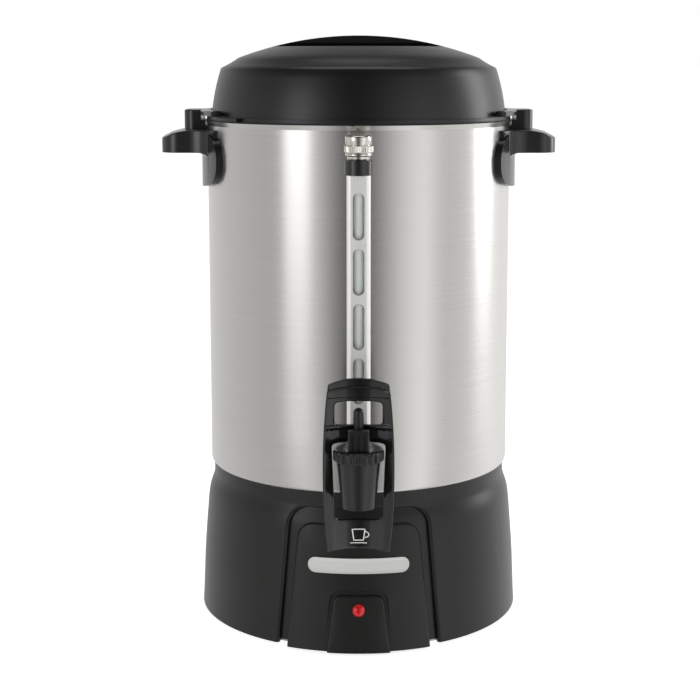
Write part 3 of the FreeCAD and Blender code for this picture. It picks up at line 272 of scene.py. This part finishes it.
# Lamp glass: clear and smooth, with the orange of its gas.
neon = material("neon_lamp_glass", "#F3B38C", {"Transmission Weight": 0.6})
grain(neon, (16.67, 16.67, 16.67), 0, (0.06, 0.14))
dress(neon, "pilot_lamp")


# Badge
# The long oval plate on the front panel, stamped in pale anodised aluminium and bare of
# words. It is bent to the panel's round, glued on, and has a raised rim.
BADGE_HALF, BADGE_RISE, BADGE_HEIGHT, BADGE_COLUMNS, BADGE_ROWS = 37.5, 5.5, 65.2, 48, 4
BADGE_THICK, BADGE_RIM, BADGE_SUNK, BADGE_END = 1.1, 0.8, 0.4, 0.3
PANEL_FOOT, PANEL_RADIUS, PANEL_DRAFT = 2, 130.25, 12.8 / 95.2


def piece(name, mesh, made, body, slot, *nodes):
    """Turns a bmesh into a smooth object that rides on a body, and may stand for CAD nodes."""
    bmesh.ops.recalc_face_normals(mesh, faces=mesh.faces)
    data = bpy.data.meshes.new(name)
    mesh.to_mesh(data)
    mesh.free()
    for face in data.polygons:
        face.use_smooth = True
    data.materials.append(made)
    shape = bpy.data.objects.new(name, data)
    bpy.context.scene.collection.objects.link(shape)
    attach(shape, body)
    if nodes:
        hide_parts(*nodes)
    return shape


def soften(shape, width, angle=35):
    """Rounds the edges of a piece that are sharper than an angle."""
    rounded = shape.modifiers.new("rounded", "BEVEL")
    rounded.width = MM * width
    rounded.segments = 2
    rounded.limit_method = "ANGLE"
    rounded.angle_limit = math.radians(angle)


def new_verts(result):
    """The vertices that an extrusion made."""
    return [item for item in result["geom"] if isinstance(item, bmesh.types.BMVert)]


badge_mesh = bmesh.new()
bmesh.ops.create_grid(badge_mesh, x_segments=BADGE_COLUMNS, y_segments=BADGE_ROWS, size=0.5)
for vert in badge_mesh.verts:
    x = BADGE_HALF * math.sin(math.pi * vert.co.x)
    past = max(abs(x) - BADGE_HALF + BADGE_RISE, 0)
    tall = max(math.sqrt(BADGE_RISE ** 2 - past ** 2), BADGE_END)
    z = BADGE_HEIGHT + 2 * tall * vert.co.y
    panel_radius = PANEL_RADIUS - (z - PANEL_FOOT) * PANEL_DRAFT
    vert.co = Vector((x, -math.sqrt(panel_radius ** 2 - x ** 2), z)) * MM
raised = bmesh.ops.extrude_face_region(badge_mesh, geom=badge_mesh.faces[:], use_keep_orig=True)
bmesh.ops.translate(badge_mesh, vec=(0, -MM * BADGE_THICK, 0), verts=new_verts(raised))
field = [item for item in raised["geom"] if isinstance(item, bmesh.types.BMFace)]
bmesh.ops.inset_region(badge_mesh, faces=field, thickness=MM * BADGE_RIM, depth=0)
bmesh.ops.translate(badge_mesh, vec=(0, MM * BADGE_SUNK, 0),
                    verts=list({vert for face in field for vert in face.verts}))
# Anodised aluminium: pale, even and satin, with no streaks.
anodised = moulded("pale_anodised_plate", "#CFCFCC", "#DADAD7", 0.4, 0.6667, 0.002)
soften(piece("badge_plate", badge_mesh, anodised, "urn", "nickel"), 0.2)


# Tank
# A pot drawn in aluminium with a rolled hem round its mouth. It is brushed while it turns, and
# welded studs and nuts hold it down on the base.
HEM_OUT, HEM_WIDE, HEM_MIDDLE, HEM_TALL, HEM_POINTS = 118.75, 0.75, 386.3, 1.7, 10
TANK_STEPS = 192


def turned(mesh, outline, steps, centre_y=0.0):
    """Spins an outline of radius and height about an upright axis."""
    rim = [mesh.verts.new((r * MM, centre_y * MM, z * MM)) for r, z in outline]
    edges = [mesh.edges.new(pair) for pair in zip(rim, rim[1:])]
    bmesh.ops.spin(mesh, geom=rim + edges, cent=(0, centre_y * MM, 0), axis=(0, 0, 1),
                   angle=math.tau, steps=steps, use_merge=True)
    bmesh.ops.remove_doubles(mesh, verts=mesh.verts, dist=MERGE_DISTANCE)


hem = [(HEM_OUT - HEM_WIDE * math.cos(turn), HEM_MIDDLE - HEM_TALL * math.cos(turn))
       for turn in [math.pi * k / HEM_POINTS for k in range(HEM_POINTS + 1)]]
outside = [(16.0, 118.5), (114.6, 118.5), (116.4, 118.8), (117.6, 119.9), (118.0, 121.6),
           (118.0, 160), (118.0, 340), (118.0, 384.4)]
inside = [(118.6, 388.0), (117.2, 388.0), (116.7, 387.5), (116.7, 384), (116.7, 160),
          (116.7, 122.4), (116.1, 120.6), (114.6, 119.8), (16.0, 119.8), (16.0, 118.5)]
tank_mesh = bmesh.new()
turned(tank_mesh, outside + hem + inside, TANK_STEPS)
# Brushed aluminium: fine lines run round it and draw highlights up and down. They are 0.3 mm
# apart, coarser than real ones, so that they show.
brushed = metal("brushed_aluminium", "#D0CECB", "#D8D6D3", (0.27, 0.32), (250, 250, 0.3125),
                0.0035, 0.7)
shader = brushed.node_tree.nodes["Principled BSDF"]
shader.inputs["Anisotropic Rotation"].default_value = 0.25
round_tank = add_node(brushed.node_tree, "ShaderNodeTangent", direction_type="RADIAL", axis="Z")
brushed.node_tree.links.new(round_tank.outputs[0], shader.inputs["Tangent"])
piece("tank_pot", tank_mesh, brushed, "urn", "brushed_aluminium", "tank")


# Heater and controls
# What hangs under the tank's floor: a spun aluminium well with its band and nut of plated
# steel, a keep-warm ring in clips, and a ceramic thermostat with braided leads.
# Spun aluminium: grey rings, wider than the tank's brush lines.
spun = metal("spun_aluminium", "#BFBDB9", "#CBC9C5", (0.3, 0.42), (111.1, 111.1, 0.6667), 0.012)
dress(spun, "heater_well", "keep_warm_element")
dress(zinc, "heater_well_nut", "heater_band", "keep_warm_clips", "thermal_cutoff", "heat_shield")
# Unglazed ceramic: warm white and half matt.
ceramic = moulded("unglazed_ceramic", "#DAD7CE", "#E6E3DA", 0.5, 0.8333, 0.004)
dress(ceramic, "thermostat")
# Glass braid: cream, with the rough look of threads.
braid = moulded("glass_braid", "#C9C3B2", "#DAD5C6", 0.7, 0.4545, 0.03)
dress(braid, "lead_wires")
# Silicone: mid grey and soft, half matt.
silicone = moulded("grey_silicone", "#8F8E89", "#A09F99", 0.5, 0.6667, 0.005)
dress(silicone, "heater_well_gasket")


# Handles
# One moulding each in black phenolic, with an apron that follows the tank. Screws from inside
# the tank hold them, sealed by washers.
# Phenolic from a polished mould: black with a clear sheen.
glossy = moulded("gloss_black_phenolic", "#141414", "#1C1C1B", 0.22, 1.111, 0.004, 0.6)
dress(glossy, "left_handle", "right_handle")
dress(zinc, "handle_screws")
dress(silicone, "handle_screw_washers")


# Faucet
# A body moulded in black nylon with its shank, clamped through the tank's wall by a nut between
# silicone gaskets. A stem with a silicone cup closes its seat.
# Moulded nylon: black, semi-gloss and a little soft at the edges.
nylon = moulded("black_nylon", "#181818", "#20201F", 0.27, 0.5556, 0.008)
dress(nylon, "faucet_body", "valve_stem")
dress(silicone, "faucet_outer_gasket", "faucet_inner_gasket", "seat_cup")
dress(zinc, "faucet_shank_nut")


# Bonnet
# The cap of black nylon that screws on the faucet and guides the stem. Its skirt is moulded
# with 24 ribs for the fingers.
FAUCET_Y = -168.0
BONNET_RADIUS, BONNET_RIB, BONNET_STEPS = 17.9, 1.1, 120
BAND_SLACK = 0.05


def ribbed(mesh, centre_y, low, high, radius, depth, steps, run, proud):
    """Draws in a turned band between two heights, but for the first proud steps of each run
    of steps, which stand out as ribs."""
    for vert in mesh.verts:
        x, y = vert.co.x / MM, vert.co.y / MM - centre_y
        step = round(math.degrees(math.atan2(y, x)) % 360 * steps / 360) % run
        band = low < vert.co.z / MM < high and math.hypot(x, y) > radius - BAND_SLACK
        if band and step >= proud:
            share = (radius - depth) / radius
            vert.co = Vector((x * share * MM, (centre_y + y * share) * MM, vert.co.z))


bonnet_mesh = bmesh.new()
turned(bonnet_mesh, [(13.1, 157.5), (16.2, 157.5), (17.0, 157.8), (17.9, 158.6), (17.9, 159.2),
                     (17.9, 163.6), (17.9, 164.3), (17.2, 165.3), (16.4, 165.9), (15.2, 166.0),
                     (9.5, 166.0), (9.2, 165.7), (3.3, 165.7), (3.1, 165.4), (3.1, 162.9),
                     (13.1, 162.9), (13.1, 157.5)], BONNET_STEPS, FAUCET_Y)
ribbed(bonnet_mesh, FAUCET_Y, 158.5, 164.4, BONNET_RADIUS, BONNET_RIB, BONNET_STEPS, 5, 3)
soften(piece("ribbed_bonnet", bonnet_mesh, nylon, "faucet_bonnet", "black_plastic_semi",
             "faucet_bonnet"), 0.22)


# Closing spring
# Wound from plated steel wire and set round the stem, between the seat's cup and the bonnet.
# The real one shortens as the stem lifts; this coil keeps its length and stays with the urn.
SPRING_LOW, SPRING_TOP, SPRING_TURNS, SPRING_RADIUS, WIRE_RADIUS = 141.6, 162.25, 7, 4.65, 0.55
WIRE_SIDES, SPRING_STEPS = 10, 24 * SPRING_TURNS
spring_mesh = bmesh.new()
bmesh.ops.create_circle(spring_mesh, segments=WIRE_SIDES, radius=MM * WIRE_RADIUS)
bmesh.ops.rotate(spring_mesh, verts=spring_mesh.verts, cent=(0, 0, 0),
                 matrix=Matrix.Rotation(math.pi / 2, 3, "X"))
bmesh.ops.translate(spring_mesh, verts=spring_mesh.verts,
                    vec=Vector((SPRING_RADIUS, FAUCET_Y, SPRING_LOW)) * MM)
bmesh.ops.spin(spring_mesh, geom=spring_mesh.verts[:] + spring_mesh.edges[:],
               cent=(0, MM * FAUCET_Y, 0), axis=(0, 0, 1), angle=math.tau * SPRING_TURNS,
               steps=SPRING_STEPS, use_merge=False,
               dvec=(0, 0, MM * (SPRING_TOP - SPRING_LOW) / SPRING_STEPS))
bmesh.ops.holes_fill(spring_mesh, edges=spring_mesh.edges, sides=WIRE_SIDES)
spring = piece("wound_spring", spring_mesh, zinc, "urn", "steel", "valve_spring")
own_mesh(spring)


# Lever
# A frame moulded in glossy black ABS, pressed on the faucet's handle and held by a pin. It is
# hollow across and bent back towards the base. A grid without the windows is thickened,
# given its two ridges, and rounded.
LEVER_ROWS = (84.2, 86.5, 95, 104, 107.5, 110.7, 116, 130, 148, 160, 165.5, 170, 174, 181, 183.4,
              187.5, 191.6, 195.7, 199.8, 202.2, 203.2, 208, 211, 212, 215, 216.6)
LEVER_COLUMNS, LEVER_THICK = 14, 3.8
LEVER_FOOT, LEVER_HEAD = LEVER_ROWS[0], LEVER_ROWS[-1]
WIDEST_HEIGHT, WIDEST_HALF, NARROWER_FOOT, NARROWER_HEAD = 146, 25.3, 2.9, 4.1
WINDOW_FOOT, WINDOW_TALL, WINDOW_HALF, WINDOW_FLARE = 110.5, 59.5, 16.5, 2.3
UPPER_WINDOW_FOOT, UPPER_WINDOW_HALF = 182, 16.4
MAIN_WINDOW, UPPER_WINDOW, SLOT = (110, 169), (183, 199), (169, 180)
WINDOW_COLUMNS, SLOT_COLUMNS, INNER_COLUMNS = range(3, 11), range(5, 9), (0, 3.75, 7.5, 8.7)
LOWER_BAND, UPPER_BAND = (180, 183), (203, 210)
BORDER, ROUNDING = 2.2, 1.6
FOOT_ARCH, FOOT_REACH, HEAD_DROP, HEAD_REACH = 2, 20, 3.6, 14
UPPER_RIDGE, LOWER_RIDGE, RIDGE_SPLIT = 2.2, 1.1, 190
HOLLOW_RADIUS, BEND_RADIUS, BEND_TOP, LEVER_Y = 47, 400, 230, -172


def lever_front(x, z):
    """Y of the lever's front face."""
    hollow = HOLLOW_RADIUS - math.sqrt(HOLLOW_RADIUS ** 2 - x ** 2)
    bend = BEND_RADIUS - math.sqrt(BEND_RADIUS ** 2 - (BEND_TOP - z) ** 2)
    return LEVER_Y - hollow + bend


def lever_half(z):
    """Half the lever's width at a height."""
    if z < WIDEST_HEIGHT:
        return WIDEST_HALF - NARROWER_FOOT * ((WIDEST_HEIGHT - z)
                                              / (WIDEST_HEIGHT - LEVER_FOOT)) ** 2
    return WIDEST_HALF - NARROWER_HEAD * ((z - WIDEST_HEIGHT) / (LEVER_HEAD - WIDEST_HEIGHT)) ** 2


def window_half(z):
    """Half the width of the window at a height."""
    if z > UPPER_WINDOW_FOOT:
        return UPPER_WINDOW_HALF
    return WINDOW_HALF + WINDOW_FLARE * min(max((z - WINDOW_FOOT) / WINDOW_TALL, 0), 1)


def within(height, rows):
    """Whether a height lies between two others."""
    return rows[0] < height < rows[1]


lever_mesh = bmesh.new()
last_row, middle_column = len(LEVER_ROWS) - 1, LEVER_COLUMNS // 2
bmesh.ops.create_grid(lever_mesh, x_segments=LEVER_COLUMNS, y_segments=last_row, size=0.5)
holes, ridges = [], []
for face in lever_mesh.faces:
    centre = face.calc_center_median()
    column = int((centre.x + 0.5) * LEVER_COLUMNS)
    height = LEVER_ROWS[int((centre.y + 0.5) * last_row)]
    window_row = within(height, MAIN_WINDOW) or within(height, UPPER_WINDOW)
    if window_row and column in WINDOW_COLUMNS:
        holes.append(face)
    elif within(height, SLOT) and column in SLOT_COLUMNS:
        holes.append(face)
    elif within(height, LOWER_BAND) or within(height, UPPER_BAND):
        ridges.append(face)
for vert in lever_mesh.verts:
    column = round((vert.co.x + 0.5) * LEVER_COLUMNS) - middle_column
    z = LEVER_ROWS[round((vert.co.y + 0.5) * last_row)]
    half, window = lever_half(z), window_half(z)
    across = (*INNER_COLUMNS, window, window + BORDER, half - ROUNDING, half)[abs(column)]
    share = across / half
    z += FOOT_ARCH * (1 - share ** 2) * max(1 - (z - LEVER_FOOT) / FOOT_REACH, 0)
    z -= HEAD_DROP * share ** 2 * max(1 - (LEVER_HEAD - z) / HEAD_REACH, 0)
    x = math.copysign(across, column)
    vert.co = Vector((x, lever_front(x, z), z)) * MM
bmesh.ops.delete(lever_mesh, geom=holes, context="FACES")
back = bmesh.ops.extrude_face_region(lever_mesh, geom=lever_mesh.faces[:], use_keep_orig=True)
bmesh.ops.translate(lever_mesh, vec=(0, MM * LEVER_THICK, 0), verts=new_verts(back))
lip = bmesh.ops.extrude_face_region(lever_mesh, geom=ridges)
for vert in new_verts(lip):
    vert.co.y -= MM * (UPPER_RIDGE if vert.co.z > MM * RIDGE_SPLIT else LOWER_RIDGE)
bmesh.ops.delete(lever_mesh, geom=ridges, context="FACES_ONLY")
# ABS from a polished mould: deep black, with the sharpest shine on the urn.
abs_gloss = moulded("gloss_black_abs", "#0C0C0C", "#121211", 0.12, 1.429, 0.003, 0.6)
lever = piece("cup_lever", lever_mesh, abs_gloss, "lever", "black_plastic_gloss",
              "dispensing_lever")
smooth = lever.modifiers.new("smooth", "SUBSURF")
smooth.levels = smooth.render_levels = 2
dress(nylon, "faucet_handle")
dress(zinc, "lever_pin")


# Cup mark
# A plain drinking cup on its saucer, pad-printed in pale ink on the lever's plate, where a
# cup is pressed. The ink is as pale and satin as the badge, so it takes the badge's finish.
INK_RISE, CUP_LINE, SAUCER_LINE = 0.25, 0.8, 0.7
CUP_RIM, CUP_TOP, CUP_FOOT, CUP_BOTTOM = 4.6, 102.5, 3.4, 93.4
EAR_X, EAR_Z, EAR_WIDE, EAR_TALL, EAR_POINTS = 4.4, 98.2, 2.9, 2.5, 12
SAUCER_HALF, SAUCER_Z = 6.0, 91.2


def stroke(mesh, path, wide):
    """A printed line of a width along points of the lever's face."""
    last = len(path) - 1
    line = bmesh.ops.create_grid(mesh, x_segments=last, y_segments=1, size=0.5)["verts"]
    joined = path[0] == path[-1]
    for vert in line:
        k = round((vert.co.x + 0.5) * last)
        back = path[k - 1] if k else path[-2] if joined else path[0]
        ahead = path[k + 1] if k < last else path[1] if joined else path[-1]
        along = Vector((ahead[0] - back[0], ahead[1] - back[1])).normalized()
        x = path[k][0] - wide * vert.co.y * along.y
        z = path[k][1] + wide * vert.co.y * along.x
        vert.co = Vector((x, lever_front(x, z) - INK_RISE, z)) * MM


def dotted(*corners):
    """Corners joined by runs with a point about every millimetre."""
    path = []
    for (ax, az), (bx, bz) in zip(corners, corners[1:]):
        count = max(int(math.hypot(bx - ax, bz - az)), 1)
        path += [(ax + (bx - ax) * k / count, az + (bz - az) * k / count) for k in range(count)]
    return path + [corners[-1]]


mark_mesh = bmesh.new()
stroke(mark_mesh, dotted((-CUP_RIM, CUP_TOP), (CUP_RIM, CUP_TOP), (CUP_FOOT, CUP_BOTTOM),
                         (-CUP_FOOT, CUP_BOTTOM), (-CUP_RIM, CUP_TOP)), CUP_LINE)
stroke(mark_mesh, [(EAR_X + EAR_WIDE * math.sin(math.pi * k / EAR_POINTS),
                    EAR_Z + EAR_TALL * math.cos(math.pi * k / EAR_POINTS))
                   for k in range(EAR_POINTS + 1)], CUP_LINE)
stroke(mark_mesh, dotted((-SAUCER_HALF, SAUCER_Z), (SAUCER_HALF, SAUCER_Z)), SAUCER_LINE)
bmesh.ops.remove_doubles(mark_mesh, verts=mark_mesh.verts, dist=MERGE_DISTANCE)
piece("cup_mark", mark_mesh, anodised, "lever", "nickel")


# Sight gauge
# A glass tube behind a slotted channel of bright drawn metal. A black collar on a bracket
# holds its top, and a silicone seal its foot.
# Bright drawn metal: nearly white, with fine lines along its length.
drawn = metal("drawn_bright_channel", "#F2F1ED", "#FAF9F6", (0.3, 0.4), (0.3846, 2.5, 111.1),
              0.004)
# It is half metallic, because a pure mirror shows the dark side of the studio.
drawn.node_tree.nodes["Principled BSDF"].inputs["Metallic"].default_value = 0.45
dress(drawn, "gauge_shield")
dress(glossy, "gauge_bracket")
dress(zinc, "gauge_bracket_screw")
dress(silicone, "gauge_bottom_seal")
# Drawn glass: smooth with a green cast. Its pale colour, with only a quarter of the light let
# through, is painted light that stands in for the brightness seen through the clear tube.
tube = material("gauge_glass", "#EFF4F1", {"Transmission Weight": 0.25, "IOR": 1.47})
grain(tube, (25, 25, 83.33), 0, (0.04, 0.08))
dress(tube, "gauge_tube")


# Gauge cap
# Turned and nickel-plated, with a knurled band between two plain ones. It screws down over the
# glass's top.
GAUGE_Y = -131.0
KNURL_RADIUS, KNURL_DEPTH, CAP_STEPS = 10.3, 0.45, 144
cap_mesh = bmesh.new()
turned(cap_mesh, [(6.6, 364.6), (8.2, 364.6), (8.2, 367.0), (8.7, 367.6), (9.4, 367.8),
                  (9.5, 368.2), (9.5, 368.9), (9.1, 369.4), (9.6, 369.8), (10.3, 370.3),
                  (10.3, 370.5), (10.3, 374.2), (10.3, 374.4), (9.6, 374.9), (9.0, 375.2),
                  (9.2, 375.7), (9.5, 376.1), (9.5, 380.6), (9.2, 381.5), (8.4, 382.0),
                  (0.0, 382.05), (0.0, 373.6), (6.6, 373.6), (6.6, 364.6)], CAP_STEPS, GAUGE_Y)
ribbed(cap_mesh, GAUGE_Y, 370.2, 374.5, KNURL_RADIUS, KNURL_DEPTH, CAP_STEPS, 3, 2)
# Nickel plate: warm and mirror-bright, with small soft flaws.
nickel = metal("nickel_plate", "#D9D6CF", "#E6E3DC", (0.1, 0.2), (4.545, 4.545, 1.111), 0.003)
soften(piece("knurled_cap", cap_mesh, nickel, "gauge_cap", "nickel", "gauge_cap"), 0.1, 50)


# Lid
# A dome moulded in black phenolic, with a grip bar screwed across its recess and a ring of
# black silicone under its flange. The ring looks like the feet's rubber and shares its finish.
# Phenolic from a finer mould than the base's: darker and a little glossier.
lid_black = moulded("black_lid_phenolic", "#0B0B0B", "#111110", 0.33, 0.4167, 0.008)
dress(lid_black, "lid_shell", "lid_handle")
dress(zinc, "lid_handle_screws")
dress(rubber, "lid_seal")


# Percolator
# The pump tube, the coffee basket and its cover are thin aluminium, spun and left plain. They
# stand loose on the heater well, one on another.
dress(spun, "pump_tube", "coffee_basket", "basket_cover")
